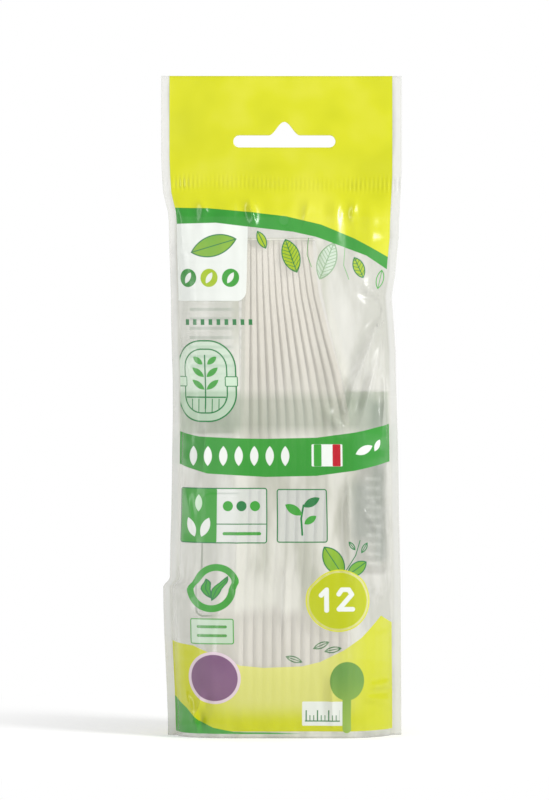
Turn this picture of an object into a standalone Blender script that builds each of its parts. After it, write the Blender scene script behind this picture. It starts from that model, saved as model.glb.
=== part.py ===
# Teaspoon pack: a welded film bag with a hang header, and twelve spoons nested inside it.
# Metres, +Z up. The origin is on the base under the middle of the pack, and the front faces -Y.

import math

import bmesh
import bpy

# Spoon
SPOON_COUNT = 12
SPOON_LENGTH = 0.136
SPOON_WALL = 0.0012
BOWL_LENGTH = 0.046
BOWL_WIDTH = 0.026
BOWL_DEPTH = 0.0062
BOWL_WIDEST = 0.021  # from the bowl's end to its widest place
BOWL_FULLNESS = 0.75  # power of the bowl's arc along its length: a lower one is fuller
NECK_WIDTH = 0.0068
HANDLE_WIDTH = 0.0096  # at the handle's free end
HANDLE_END = 0.005  # length of the rounded free end
CHANNEL_DEPTH = 0.0011  # how far the handle's middle lies below its edges
CHANNEL_START = 0.5  # share of the bowl's length where the channel begins
HANDLE_ARCH = 0.0014  # how far the handle bows out between the bowl and its end
END_FACET = 0.3  # share of the width that the flat at each end keeps
BOWL_STATIONS = 11
HANDLE_STATIONS = 9
END_STATIONS = (0.55, 0.2, 0.0)  # shares of the rounded end that are left
SPOON_SPANS = 6

# How the spoons nest: side by side along X, handles up
BOWL_PITCH = 0.0026
TIP_PITCH = 0.00155
STACK_CENTRE = 0.0026  # X of the middle of the handles, low down
TIP_CENTRE = -0.0012  # X of the middle of the handles, at their ends
FLEX_START = 0.076  # height where the handles begin to lean together

# Film
FILM = 0.0003
CLEARANCE = 0.0003
PACK_HEIGHT = 0.181
PACK_WIDTH = 0.066
SIDE_WELD = 0.0026
BASE_DEPTH = 0.021
SEAL_ROOM = 0.0125  # from the handles' ends to the cross seal
SEAL_HEIGHT = 0.0045
HEADER_WAVE = 0.0005
HEADER_PHASE = 0.2  # where the wave crosses the middle, as a share of the width
PUFF = 0.0007  # how far trapped air lifts the film off the spoons halfway up

# How the front turns to the side welds: a higher power keeps it full for longer
LEFT_FULLNESS = 2.6
RIGHT_FULLNESS = 1.7
LEFT_STEEPNESS = 0.5
RIGHT_STEEPNESS = 0.8

# How far each side draws in, by share of the height up to the cross seal
LEFT_DRAW_IN = (
    (0.0, 0.0018),
    (0.276, 0.0005),
    (0.288, 0.0023),
    (0.47, 0.0029),
    (0.62, 0.0032),
    (0.78, 0.0027),
    (0.95, 0.0021),
    (1.01, 0.0004),
    (1.05, 0.0),
)
RIGHT_DRAW_IN = (
    (0.0, 0.0),
    (0.25, 0.0002),
    (0.47, 0.0008),
    (0.70, 0.0016),
    (0.765, 0.0022),
    (0.79, 0.0030),
    (0.815, 0.0027),
    (0.86, 0.0016),
    (0.92, 0.0008),
    (1.05, 0.0),
)
SIDE_STEP_ROWS = (0.276, 0.288)  # rows that keep the left side's step sharp

# Crimped ridges of the cross seal
RIDGE_PITCH = 0.0012
RIDGE_WIDTH = 0.0006
RIDGE_HEIGHT = 0.0002
RIDGE_CREST = 0.5  # share of a ridge's width that its crest keeps
RIDGE_MARGIN = 0.0006  # plain film above and below the ridges
RIDGE_INSET = 0.0052  # plain film at each end of their row

# Hang slot
SLOT_WIDTH = 0.028
SLOT_HEIGHT = 0.0033
SLOT_BELOW_TOP = 0.0196  # from the top edge to the slot's lower edge
PEAK_WIDTH = 0.0086
PEAK_HEIGHT = 0.0037
SLOT_SHIFT = 0.0008  # X of the slot's middle
SLOT_CUT = 0.004  # how far the cutter reaches to each side of the sheet
SLOT_END_SPANS = 8
PEAK_SPANS = 14

# Vent through the back, so that the bag holds no sealed air
VENT_RADIUS = 0.0016
VENT_BELOW_SEAL = 0.0075
VENT_CUT = 0.012  # length of the cutter, from the middle of the bag backwards
VENT_SPANS = 12

# Folds in the film, each from one point to another (X, Z), with its width and height
FOLD_WIDTH = 0.0035
FOLD_HEIGHT = 0.0006
FOLD_FADE = 0.008  # folds die out over this height below the seal
FOLD_HOLD = 3  # folds keep their height until the film is a third of its full depth
FRONT_FOLDS = (
    ((0.029, 0.116), (0.017, 0.092)),
    ((0.021, 0.124), (0.029, 0.117)),
    ((-0.026, 0.004), (-0.018, 0.016)),
)
BACK_FOLDS = (
    ((-0.029, 0.110), (-0.016, 0.090)),
    ((0.027, 0.005), (0.019, 0.018)),
    ((0.004, 0.146), (0.010, 0.139)),
)

FILM_SPANS = 22
BODY_ROWS = 26
ROW_CROWDING = 0.09  # how much closer the rows lie near the base and the seal
LEAST_ROW_STEP = 0.01  # share of the height that stays free beside the side's step
DEPTH_SAMPLES = 60
HEADER_ROWS = 5
MERGE = 1e-7

FILM_COLOUR = (0.70, 0.72, 0.45, 1.0)
FILM_ROUGHNESS = 0.25
FILM_ALPHA = 0.6
SPOON_COLOUR = (0.74, 0.70, 0.61, 1.0)
SPOON_ROUGHNESS = 0.45

SPOON_FOOT = FILM + CLEARANCE  # height of the bowls' ends
SEAL_BOTTOM = SPOON_FOOT + SPOON_LENGTH + SEAL_ROOM
SEAL_TOP = SEAL_BOTTOM + SEAL_HEIGHT


def ease(low, high, value):
    """0 below low, 1 above high, and a smooth step between."""
    t = min(max((value - low) / (high - low), 0.0), 1.0)
    return t * t * (3 - 2 * t)


def clear_scene():
    for old in list(bpy.data.objects):
        bpy.data.objects.remove(old, do_unlink=True)


def make_collection(name):
    made = bpy.data.collections.new(name)
    bpy.context.scene.collection.children.link(made)
    return made


def make_material(name, colour, roughness, alpha=1.0):
    made = bpy.data.materials.new(name)
    made.use_nodes = True
    shader = made.node_tree.nodes["Principled BSDF"]
    shader.inputs["Base Color"].default_value = colour
    shader.inputs["Roughness"].default_value = roughness
    shader.inputs["Metallic"].default_value = 0.0
    shader.inputs["Alpha"].default_value = alpha
    made.diffuse_color = colour[:3] + (alpha,)
    return made


def object_from_rings(name, rings, collection, cap_end=True):
    """A loft through rings of points, each with as many points as the next."""
    mesh = bpy.data.meshes.new(name)
    bm = bmesh.new()
    rows = [[bm.verts.new(p) for p in ring] for ring in rings]
    count = len(rows[0])
    for low, high in zip(rows, rows[1:]):
        for j in range(count):
            k = (j + 1) % count
            bm.faces.new((low[j], low[k], high[k], high[j]))
    cap_ring(bm, rows[0])
    if cap_end:
        cap_ring(bm, rows[-1])
    bmesh.ops.remove_doubles(bm, verts=bm.verts, dist=MERGE)
    face_outwards(bm)
    bm.to_mesh(mesh)
    bm.free()
    made = bpy.data.objects.new(name, mesh)
    collection.objects.link(made)
    return made


def face_outwards(bm):
    bmesh.ops.recalc_face_normals(bm, faces=bm.faces)
    if bm.calc_volume(signed=True) < 0:
        bmesh.ops.reverse_faces(bm, faces=bm.faces)


def cap_ring(bm, ring):
    """Closes a ring whose second half runs back under its first, with strips across."""
    half = len(ring) // 2
    for j in range(half - 1):
        a, b = ring[j], ring[j + 1]
        c, d = ring[-2 - j], ring[-1 - j]
        bm.faces.new((a, b, c, d))


def spoon_half_width(s):
    """Half the spoon's width, s metres from the bowl's end."""
    if s < BOWL_WIDEST:
        t = 1 - s / BOWL_WIDEST
        return BOWL_WIDTH / 2 * max(math.sqrt(max(1 - t * t, 0.0)), END_FACET)
    if s < BOWL_LENGTH:
        t = (s - BOWL_WIDEST) / (BOWL_LENGTH - BOWL_WIDEST)
        return (NECK_WIDTH + (BOWL_WIDTH - NECK_WIDTH) * (0.5 + 0.5 * math.cos(math.pi * t))) / 2
    t = (s - BOWL_LENGTH) / (SPOON_LENGTH - BOWL_LENGTH)
    width = NECK_WIDTH + (HANDLE_WIDTH - NECK_WIDTH) * t
    from_end = SPOON_LENGTH - s
    if from_end < HANDLE_END:
        u = 1 - from_end / HANDLE_END
        width *= max(math.sqrt(max(1 - u * u, 0.0)), END_FACET)
    return width / 2


def spoon_sag(s):
    """How far the middle of the section lies below its edges, towards -X."""
    if s < BOWL_LENGTH:
        t = 2 * s / BOWL_LENGTH - 1
        bowl = BOWL_DEPTH * max(1 - t * t, 0.0) ** BOWL_FULLNESS
        return max(bowl, CHANNEL_DEPTH * ease(CHANNEL_START * BOWL_LENGTH, BOWL_LENGTH, s))
    return CHANNEL_DEPTH


def nest_pitch(s):
    return BOWL_PITCH + (TIP_PITCH - BOWL_PITCH) * ease(FLEX_START, SPOON_LENGTH, s)


def nest_centre(s):
    return STACK_CENTRE + (TIP_CENTRE - STACK_CENTRE) * ease(FLEX_START, SPOON_LENGTH, s)


def handle_bow(s):
    if s < BOWL_WIDEST:
        return 0.0
    return HANDLE_ARCH * math.sin(math.pi * (s - BOWL_WIDEST) / (SPOON_LENGTH - BOWL_WIDEST)) ** 2


def rank_x(rank, s):
    """X of a spoon's edges, for rank 0 at the left to SPOON_COUNT - 1 at the right."""
    return nest_centre(s) + handle_bow(s) + (rank - (SPOON_COUNT - 1) / 2) * nest_pitch(s)


def spoon_heights():
    """Where the sections lie: close together at both ends and along the bowl."""
    turns = [math.pi * k / BOWL_STATIONS for k in range(BOWL_STATIONS)]
    bowl = [BOWL_LENGTH * (1 - math.cos(turn)) / 2 for turn in turns]
    straight = SPOON_LENGTH - HANDLE_END - BOWL_LENGTH
    step = straight / (HANDLE_STATIONS - 1)
    handle = [BOWL_LENGTH + step * k for k in range(HANDLE_STATIONS)]
    end = [SPOON_LENGTH - HANDLE_END * share for share in END_STATIONS]
    return bowl + handle + end


def make_spoon(rank, collection, material):
    rings = []
    for s in spoon_heights():
        half = spoon_half_width(s)
        sag = spoon_sag(s)
        x = rank_x(rank, s)
        z = SPOON_FOOT + s
        under = []
        upper = []
        for k in range(SPOON_SPANS + 1):
            v = 2 * k / SPOON_SPANS - 1
            v = math.sin(math.pi / 2 * v)
            low = x - sag * (1 - v * v)
            under.append((low, half * v, z))
            upper.append((low + SPOON_WALL, half * v, z))
        rings.append(under + upper[::-1])
    made = object_from_rings(f"spoon_{rank + 1:02d}", rings, collection)
    made.data.materials.append(material)


def content_half_depth(z):
    """Half the depth that the spoons need at height z, with their clearance."""
    s = z - SPOON_FOOT
    if s < 0 or s > SPOON_LENGTH:
        return 0.0
    return spoon_half_width(s) + CLEARANCE


def taut_line(points):
    """The upper hull of points in (z, depth), as a film pulled over them would lie."""
    hull = []
    for p in points:
        while len(hull) > 1:
            (az, ad), (bz, bd) = hull[-2], hull[-1]
            if (bd - ad) * (p[0] - az) > (p[1] - ad) * (bz - az):
                break
            hull.pop()
        hull.append(p)
    return hull


def read_line(line, z):
    for (az, ad), (bz, bd) in zip(line, line[1:]):
        if z <= bz:
            return ad + (bd - ad) * (z - az) / (bz - az)
    return line[-1][1]


def depth_line():
    """Half the hollow's depth along the height, at the middle of the front."""
    samples = [(FILM, BASE_DEPTH / 2)]
    for k in range(1, DEPTH_SAMPLES):
        z = FILM + (SEAL_BOTTOM - FILM) * k / DEPTH_SAMPLES
        samples.append((z, content_half_depth(z) + CLEARANCE))
    samples.append((SEAL_BOTTOM, 0.0))
    return taut_line(samples)


DEPTHS = depth_line()


def read_smooth(line, value):
    """Reads a line of (place, amount) points with a smooth step between neighbours."""
    if value <= line[0][0]:
        return line[0][1]
    for (a, amount_a), (b, amount_b) in zip(line, line[1:]):
        if value <= b:
            return amount_a + (amount_b - amount_a) * ease(a, b, value)
    return line[-1][1]


def side_x(side, z):
    """X of the bag's outer edge: side is -1 on the left and 1 on the right."""
    line = LEFT_DRAW_IN if side < 0 else RIGHT_DRAW_IN
    return side * (PACK_WIDTH / 2 - read_smooth(line, z / SEAL_BOTTOM))


def plateau(side, z):
    """X where the front leaves the spoons and slants to the side weld."""
    s = min(max(z - SPOON_FOOT, 0.0), SPOON_LENGTH)
    if side < 0:
        return rank_x(0, s) - CLEARANCE * 2
    return rank_x(SPOON_COUNT - 1, s) + SPOON_WALL + CLEARANCE * 2


def fold_height(folds, x, z):
    total = 0.0
    for (ax, az), (bx, bz) in folds:
        length = math.hypot(bx - ax, bz - az)
        along = ((x - ax) * (bx - ax) + (z - az) * (bz - az)) / length
        across = ((x - ax) * (bz - az) - (z - az) * (bx - ax)) / length
        reach = max(-along, along - length, 0.0)
        distance = math.hypot(across, reach)
        total += FOLD_HEIGHT * math.exp(-((distance / FOLD_WIDTH) ** 2))
    return total


def hollow_depth(x, z, folds):
    """Half the hollow's depth at a place on the front or the back."""
    if z >= SEAL_BOTTOM:
        return 0.0
    side = 1 if x > (plateau(-1, z) + plateau(1, z)) / 2 else -1
    fullness = LEFT_FULLNESS if side < 0 else RIGHT_FULLNESS
    steepness = LEFT_STEEPNESS if side < 0 else RIGHT_STEEPNESS
    inner_edge = side_x(side, z) - side * SIDE_WELD
    corner = plateau(side, z)
    beyond = min(max((x - corner) / (inner_edge - corner), 0.0), 1.0)
    level = max(1 - beyond**fullness, 0.0) ** steepness
    puff = PUFF * math.sin(math.pi * z / SEAL_BOTTOM)
    fade = min(level * FOLD_HOLD, 1.0) * ease(0.0, FOLD_FADE, SEAL_BOTTOM - z)
    return (read_line(DEPTHS, z) + puff) * level + fold_height(folds, x, z) * fade


def body_heights(foot):
    """Rows of the filled part of the bag, close together near the base and the seal."""
    rows = []
    for k in range(BODY_ROWS):
        t = k / (BODY_ROWS - 1)
        t = t + ROW_CROWDING * math.sin(2 * math.pi * (t - 0.5))
        rows.append(foot + (SEAL_BOTTOM - foot) * t)
    rows[-1] = SEAL_BOTTOM
    steps = [share * SEAL_BOTTOM for share in SIDE_STEP_ROWS]
    free = SEAL_BOTTOM * LEAST_ROW_STEP
    rows = [z for z in rows if min(abs(z - step) for step in steps) > free]
    return sorted(rows + steps)


def column_shares():
    return [0.5 - 0.5 * math.cos(math.pi * k / FILM_SPANS) for k in range(FILM_SPANS + 1)]


def sheet_shift(x, z):
    """How far the header's fused layers lie from the plane of the bag, in a slow wave."""
    rise = ease(SEAL_TOP, PACK_HEIGHT, z)
    return HEADER_WAVE * rise * math.sin(math.pi * (x / PACK_WIDTH + HEADER_PHASE))


def outer_ring(z):
    left, right = side_x(-1, z), side_x(1, z)
    front, back = [], []
    for share in [0.0] + column_shares() + [1.0]:
        x = left + SIDE_WELD + (right - left - 2 * SIDE_WELD) * share
        front.append([x, z])
        back.append([x, z])
    front[0][0] = back[0][0] = left
    front[-1][0] = back[-1][0] = right
    shift = [sheet_shift(x, z) for x, _ in front]
    front = [(x, s - FILM - hollow_depth(x, z, FRONT_FOLDS), z) for (x, _), s in zip(front, shift)]
    back = [(x, s + FILM + hollow_depth(x, z, BACK_FOLDS), z) for (x, _), s in zip(back, shift)]
    return front + back[::-1]


def hollow_ring(z):
    left, right = side_x(-1, z) + SIDE_WELD, side_x(1, z) - SIDE_WELD
    xs = [left + (right - left) * share for share in column_shares()]
    front = [(x, -hollow_depth(x, z, FRONT_FOLDS), z) for x in xs]
    back = [(x, hollow_depth(x, z, BACK_FOLDS), z) for x in xs]
    return front + back[::-1]


def header_heights():
    rows = [SEAL_TOP]
    for k in range(1, HEADER_ROWS + 1):
        rows.append(SEAL_TOP + (PACK_HEIGHT - SEAL_TOP) * k / HEADER_ROWS)
    return rows


def slot_outline():
    """The hang slot: a bar with round ends and a peak in the middle of its upper edge."""
    low = PACK_HEIGHT - SLOT_BELOW_TOP
    radius = SLOT_HEIGHT / 2
    reach = SLOT_WIDTH / 2 - radius
    points = []
    for k in range(SLOT_END_SPANS + 1):
        a = math.pi / 2 - math.pi * k / SLOT_END_SPANS
        points.append((reach + radius * math.cos(a), low + radius + radius * math.sin(a)))
    for k in range(SLOT_END_SPANS + 1):
        a = -math.pi / 2 - math.pi * k / SLOT_END_SPANS
        points.append((-reach + radius * math.cos(a), low + radius + radius * math.sin(a)))
    for k in range(PEAK_SPANS + 1):
        t = 2 * k / PEAK_SPANS - 1
        rise = PEAK_HEIGHT * math.cos(math.pi / 2 * t) ** 2
        points.append((t * PEAK_WIDTH / 2, low + SLOT_HEIGHT + rise))
    return [(x + SLOT_SHIFT, z) for x, z in points]


def make_slot_cutter(collection):
    outline = slot_outline()
    rings = [[(x, y, z) for x, z in outline] for y in (-SLOT_CUT, SLOT_CUT)]
    mesh = bpy.data.meshes.new("slot_cutter")
    bm = bmesh.new()
    rows = [[bm.verts.new(p) for p in ring] for ring in rings]
    count = len(outline)
    for j in range(count):
        k = (j + 1) % count
        bm.faces.new((rows[0][j], rows[0][k], rows[1][k], rows[1][j]))
    bm.faces.new(rows[0])
    bm.faces.new(rows[1])
    face_outwards(bm)
    bm.to_mesh(mesh)
    bm.free()
    made = bpy.data.objects.new("slot_cutter", mesh)
    collection.objects.link(made)
    return made


def make_vent_cutter(collection):
    bpy.ops.mesh.primitive_cylinder_add(vertices=VENT_SPANS, radius=VENT_RADIUS, depth=VENT_CUT)
    made = bpy.context.object
    made.name = "vent_cutter"
    made.rotation_euler = (math.pi / 2, 0.0, 0.0)
    made.location = (0.0, VENT_CUT / 2, SEAL_BOTTOM - VENT_BELOW_SEAL)
    for old in made.users_collection:
        old.objects.unlink(made)
    collection.objects.link(made)
    return made


def make_ridges(side, shift, collection):
    """The crimp's ridges on one face of the seal: side is -1 on the front and 1 on the back."""
    mesh = bpy.data.meshes.new("seal_ridges")
    bm = bmesh.new()
    bmesh.ops.create_cube(bm, size=1.0)
    height = SEAL_HEIGHT - 2 * RIDGE_MARGIN
    for vert in bm.verts:
        outer = vert.co.y * side > 0
        vert.co.x *= RIDGE_WIDTH * (RIDGE_CREST if outer else 1.0)
        vert.co.y = side * (FILM + RIDGE_HEIGHT if outer else FILM / 2)
        vert.co.z *= height - (RIDGE_HEIGHT if outer else 0.0)
    bm.to_mesh(mesh)
    bm.free()
    made = bpy.data.objects.new("seal_ridges", mesh)
    collection.objects.link(made)
    count = int((PACK_WIDTH - 2 * RIDGE_INSET) / RIDGE_PITCH)
    made.location = (shift - (count - 1) * RIDGE_PITCH / 2, 0.0, (SEAL_BOTTOM + SEAL_TOP) / 2)
    row = made.modifiers.new("row of ridges", "ARRAY")
    row.count = count
    row.use_relative_offset = False
    row.use_constant_offset = True
    row.constant_offset_displace = (RIDGE_PITCH, 0.0, 0.0)
    return made


def combine(target, tool, name, operation="DIFFERENCE"):
    tool.hide_render = True
    tool.display_type = "WIRE"
    step = target.modifiers.new(name, "BOOLEAN")
    step.operation = operation
    step.solver = "EXACT"
    step.object = tool


def make_bag(collection, cutters, material):
    rows = body_heights(0.0) + header_heights()
    bag = object_from_rings("film_bag", [outer_ring(z) for z in rows], collection)
    bag.data.materials.append(material)
    rings = [hollow_ring(z) for z in body_heights(FILM)]
    hollow = object_from_rings("hollow_cutter", rings, cutters, cap_end=False)
    combine(bag, hollow, "hollow")
    combine(bag, make_slot_cutter(cutters), "hang slot")
    combine(bag, make_vent_cutter(cutters), "vent")
    combine(bag, make_ridges(-1, 0.0, cutters), "front ridges", "UNION")
    combine(bag, make_ridges(1, RIDGE_PITCH / 2, cutters), "back ridges", "UNION")


def main():
    clear_scene()
    pack = make_collection("teaspoon_pack")
    cutters = make_collection("cutters")
    film = make_material("printed film", FILM_COLOUR, FILM_ROUGHNESS, FILM_ALPHA)
    plastic = make_material("spoon plastic", SPOON_COLOUR, SPOON_ROUGHNESS)
    make_bag(pack, cutters, film)
    for rank in range(SPOON_COUNT):
        make_spoon(rank, pack, plastic)


main()
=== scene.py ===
import math

import bmesh
import bpy
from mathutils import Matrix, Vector, noise
from mathutils.bvhtree import BVHTree


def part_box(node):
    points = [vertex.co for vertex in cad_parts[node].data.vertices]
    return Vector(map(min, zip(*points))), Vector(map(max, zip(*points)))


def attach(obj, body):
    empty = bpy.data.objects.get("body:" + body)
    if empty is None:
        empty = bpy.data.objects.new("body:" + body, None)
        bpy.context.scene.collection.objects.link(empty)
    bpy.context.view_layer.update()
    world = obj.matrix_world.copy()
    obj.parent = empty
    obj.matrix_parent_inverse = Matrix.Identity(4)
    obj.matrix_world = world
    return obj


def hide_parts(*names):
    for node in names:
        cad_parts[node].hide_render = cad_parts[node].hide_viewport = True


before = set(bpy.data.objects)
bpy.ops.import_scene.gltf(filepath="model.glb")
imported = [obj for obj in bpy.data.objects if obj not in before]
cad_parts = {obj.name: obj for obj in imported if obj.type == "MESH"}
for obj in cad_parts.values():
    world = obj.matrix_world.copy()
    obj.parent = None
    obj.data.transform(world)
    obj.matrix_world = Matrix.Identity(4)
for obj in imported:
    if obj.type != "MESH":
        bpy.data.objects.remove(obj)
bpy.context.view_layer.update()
scene = bpy.context.scene
print("frame loaded")


# A socket that maths can be written on; without one it is a start for a tree's first nodes
class Signal:
    def __init__(self, tree, socket=None):
        self.tree = tree
        self.socket = socket

    def node(self, kind, settings=None, inputs=None, output=0):
        made = self.tree.nodes.new(kind)
        for name, value in (settings or {}).items():
            if name == "stops":
                self.setStops(made, value)
            else:
                setattr(made, name, value)
        self.fill(made, inputs or {})
        return Signal(self.tree, made.outputs[output])

    def fill(self, made, inputs):  # links or values into the sockets of a node
        for name, value in inputs.items():
            if isinstance(value, Signal):
                self.tree.links.new(value.socket, made.inputs[name])
            else:
                made.inputs[name].default_value = value

    def setStops(self, made, stops):
        ramp = made.color_ramp.elements
        while len(ramp) < len(stops):
            ramp.new(0.5)
        for element, (place, colour) in zip(ramp, stops):
            element.position = place
            element.color = colour

    def maths(self, operation, *values, clamp=False):
        inputs = {place: value for place, value in enumerate(values)}
        return self.node("ShaderNodeMath", {"operation": operation, "use_clamp": clamp}, inputs)

    def vector(self, operation, *values):
        inputs = {place: value for place, value in enumerate((self,) + values)}
        number = operation in ("DISTANCE", "DOT_PRODUCT", "LENGTH")
        return self.node("ShaderNodeVectorMath", {"operation": operation}, inputs, 1 if number else 0)

    def __add__(self, other):
        return self.maths("ADD", self, other)

    def __radd__(self, other):
        return self.maths("ADD", other, self)

    def __sub__(self, other):
        return self.maths("SUBTRACT", self, other)

    def __rsub__(self, other):
        return self.maths("SUBTRACT", other, self)

    def __mul__(self, other):
        return self.maths("MULTIPLY", self, other)

    def __rmul__(self, other):
        return self.maths("MULTIPLY", other, self)

    def least(self, other):
        return self.maths("MINIMUM", self, other)

    def most(self, other):
        return self.maths("MAXIMUM", self, other)

    def size(self):
        return self.maths("ABSOLUTE", self)

    def repeat(self, pitch):  # distance from the nearest of a row of places
        return self.maths("PINGPONG", self, pitch / 2)

    def line(self, half):  # the outline itself, from the distance to it
        return self.size() - half

    def inside(self, soft=0.14):  # turns a distance to an outline, negative inside, into a mask
        return self.maths("MULTIPLY_ADD", self, -1 / soft, 0.5, clamp=True)

    def smooth(self, low, high, first, last):
        return self.node(
            "ShaderNodeMapRange",
            {"interpolation_type": "SMOOTHSTEP"},
            {"Value": self, "From Min": low, "From Max": high, "To Min": first, "To Max": last},
        )

    def mix(self, low, high):  # this mask picks high over low
        colours = any(isinstance(v, tuple) or isColour(v) for v in (low, high))
        kind = "RGBA" if colours else "FLOAT"
        lowPlace, highPlace, output = {"RGBA": (6, 7, 2), "FLOAT": (2, 3, 0)}[kind]
        first, last = (v + (1.0,) if isinstance(v, tuple) else v for v in (low, high))
        inputs = {0: self, lowPlace: first, highPlace: last}
        return self.node("ShaderNodeMix", {"data_type": kind, "clamp_factor": True}, inputs, output)


def isColour(value):
    return isinstance(value, Signal) and value.socket.type == "RGBA"


def srgb(red, green, blue):  # the colour as seen, turned to Blender's linear values
    seen = [v / 255 for v in (red, green, blue)]
    return tuple(v / 12.92 if v <= 0.04045 else ((v + 0.055) / 1.055) ** 2.4 for v in seen)


def ease(low, high, value):
    t = min(max((value - low) / (high - low), 0.0), 1.0)
    return t * t * (3 - 2 * t)


def startMaterial(name):  # the material, a start for its nodes, and its shader
    made = bpy.data.materials.new(name)
    made.use_nodes = True
    return made, Signal(made.node_tree), made.node_tree.nodes["Principled BSDF"]


# Shapes on the print, in millimetres: each gives the distance to an outline, negative inside
def disc(p, centre, radius):
    return p.vector("DISTANCE", (*centre, 0.0)) - radius


def bar(p, first, last, half):
    way = Vector((last[0] - first[0], last[1] - first[1], 0.0))
    along = p.vector("SUBTRACT", (*first, 0.0)).vector("DOT_PRODUCT", way / way.length_squared)
    share = along.maths("ADD", along, 0.0, clamp=True)
    step = share.node("ShaderNodeCombineXYZ", {}, {"X": share * way.x, "Y": share * way.y})
    return p.vector("DISTANCE", step.vector("ADD", (*first, 0.0))) - half


def stroke(p, points, half):  # bars joined end to end
    whole = None
    for first, last in zip(points, points[1:]):
        part = bar(p, first, last, half)
        whole = part if whole is None else whole.least(part)
    return whole


def roundBox(p, centre, size, corner):
    reach = (size[0] / 2 - corner, size[1] / 2 - corner, 9.0)
    beyond = p.vector("SUBTRACT", (*centre, 0.0)).vector("ABSOLUTE").vector("SUBTRACT", reach)
    return beyond.vector("MAXIMUM", (0.0, 0.0, 0.0)).vector("LENGTH") - corner


def oval(p, centre, size):
    scaled = p.vector("SUBTRACT", (*centre, 0.0)).vector("MULTIPLY", (2 / size[0], 2 / size[1], 1.0))
    return (scaled.vector("LENGTH") - 1.0) * (min(size) / 2)


def turned(p, centre, degrees):  # the print as seen by a motif at the centre, turned back
    moved = p.vector("SUBTRACT", (*centre, 0.0))
    turn = math.radians(degrees)
    along = moved.vector("DOT_PRODUCT", (math.cos(turn), math.sin(turn), 0.0))
    across = moved.vector("DOT_PRODUCT", (-math.sin(turn), math.cos(turn), 0.0))
    return p.node("ShaderNodeCombineXYZ", {}, {"X": along, "Y": across})


def leafShape(q, length, width):  # two circles that cross at the leaf's ends
    radius = (length * length + width * width) / (4 * width)
    shift = radius - width / 2
    return disc(q, (0.0, -shift), radius).most(disc(q, (0.0, shift), radius))


def bend(x, points):  # a height along x, through points in order
    total = None
    for (ax, ah), (bx, bh) in zip(points, points[1:]):
        part = x.smooth(ax, bx, 0.0, bh - ah)
        part.socket.node.interpolation_type = "LINEAR"
        total = part if total is None else total + part
    return total + points[0][1]


# The bag's film
bag = {
    "columns": 224,
    "bodyRows": 168,
    "headerRows": 38,
    "skin": 0.00008,  # half the thickness of the fused layers as drawn
    "sealBottom": 0.1491,
    "sealTop": 0.1536,
    "crimpPitch": 0.00118,
    "crimpHeight": 0.00022,
    "castFrom": 0.05,  # rays at the front and back start this far out
    "sideCastFrom": 0.06,  # and rays from the sides
    "smoothing": 9,  # passes over the depth
    "flatSmoothing": 70,  # and over the flat widths
    "flatWidth": 0.066,
    "arcShare": 0.3,  # of the flat width that follows the curved film
    "foldGain": 2.2,
    "touching": 0.0008,  # a smaller gap is checked by a ray
    "clearance": 0.00012,  # kept from a spoon
    "farGap": 0.02,
}


def cadTree(names):
    verts = []
    faces = []
    for name in names:
        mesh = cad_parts[name].data
        base = len(verts)
        verts += [v.co.copy() for v in mesh.vertices]
        faces += [[base + i for i in p.vertices] for p in mesh.polygons]
    return BVHTree.FromPolygons(verts, faces)


spoonNames = sorted(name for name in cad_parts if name.startswith("spoon"))
bagTree = cadTree(["film_bag"])
spoonTree = cadTree(spoonNames)
bagHigh = Vector(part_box("film_bag")[1])


def faceDepth(x, z, side):
    # y of the CAD bag's front (side -1) or back (side 1) at a place, or None past its edge
    start = Vector((x, side * bag["castFrom"], z))
    hit = bagTree.ray_cast(start, Vector((0, -side, 0)))[0]
    return None if hit is None else hit.y


def edgeX(z, side):
    # the outer edge of the bag at a height, found by rays from outside, just above the table
    height = min(max(z, 0.0004), bagHigh.z - 0.0004)
    found = []
    for k in range(-4, 5):
        start = Vector((side * bag["sideCastFrom"], k * 0.0002, height))
        hit = bagTree.ray_cast(start, Vector((-side, 0, 0)))[0]
        if hit is not None:
            found.append(side * hit.x)
    return side * max(found)


def spoonExtents():
    # per millimetre of height: how far the spoons reach in depth, and to the left and right
    rows = [[0.0, 1.0, -1.0] for _ in range(160)]
    for name in spoonNames:
        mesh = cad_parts[name].data
        for edge in mesh.edges:
            a, b = (mesh.vertices[i].co for i in edge.vertices)
            steps = max(int(abs(a.z - b.z) / 0.0005), 1)
            for k in range(steps + 1):
                p = a.lerp(b, k / steps)
                row = rows[int(p.z * 1000)]
                row[0] = max(row[0], abs(p.y))
                row[1] = min(row[1], p.x)
                row[2] = max(row[2], p.x)
    return rows


extents = spoonExtents()


def gapAt(x, depth, z):
    # the film's distance from the spoons behind it, in depth or beyond their outermost edges
    place = max(z * 1000 - 0.5, 0.0)
    low = min(int(place), len(extents) - 2)
    share = min(place - low, 1.0)
    reach, left, right = (a + (b - a) * share for a, b in zip(extents[low], extents[low + 1]))
    if right < left:
        return bag["farGap"]
    beside = max(left - x, x - right, 0.0)
    return min(max(depth - reach, 0.0) + 4 * beside, bag["farGap"])


def blurGrid(grid, passes):  # the edge rows and columns stay as they are
    rows = len(grid)
    columns = len(grid[0])
    for _ in range(passes):
        old = [row[:] for row in grid]
        for i in range(1, rows - 1):
            for j in range(1, columns - 1):
                around = old[i - 1][j] + old[i + 1][j] + old[i][j - 1] + old[i][j + 1]
                grid[i][j] = 0.5 * old[i][j] + 0.125 * around
    return grid


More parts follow.
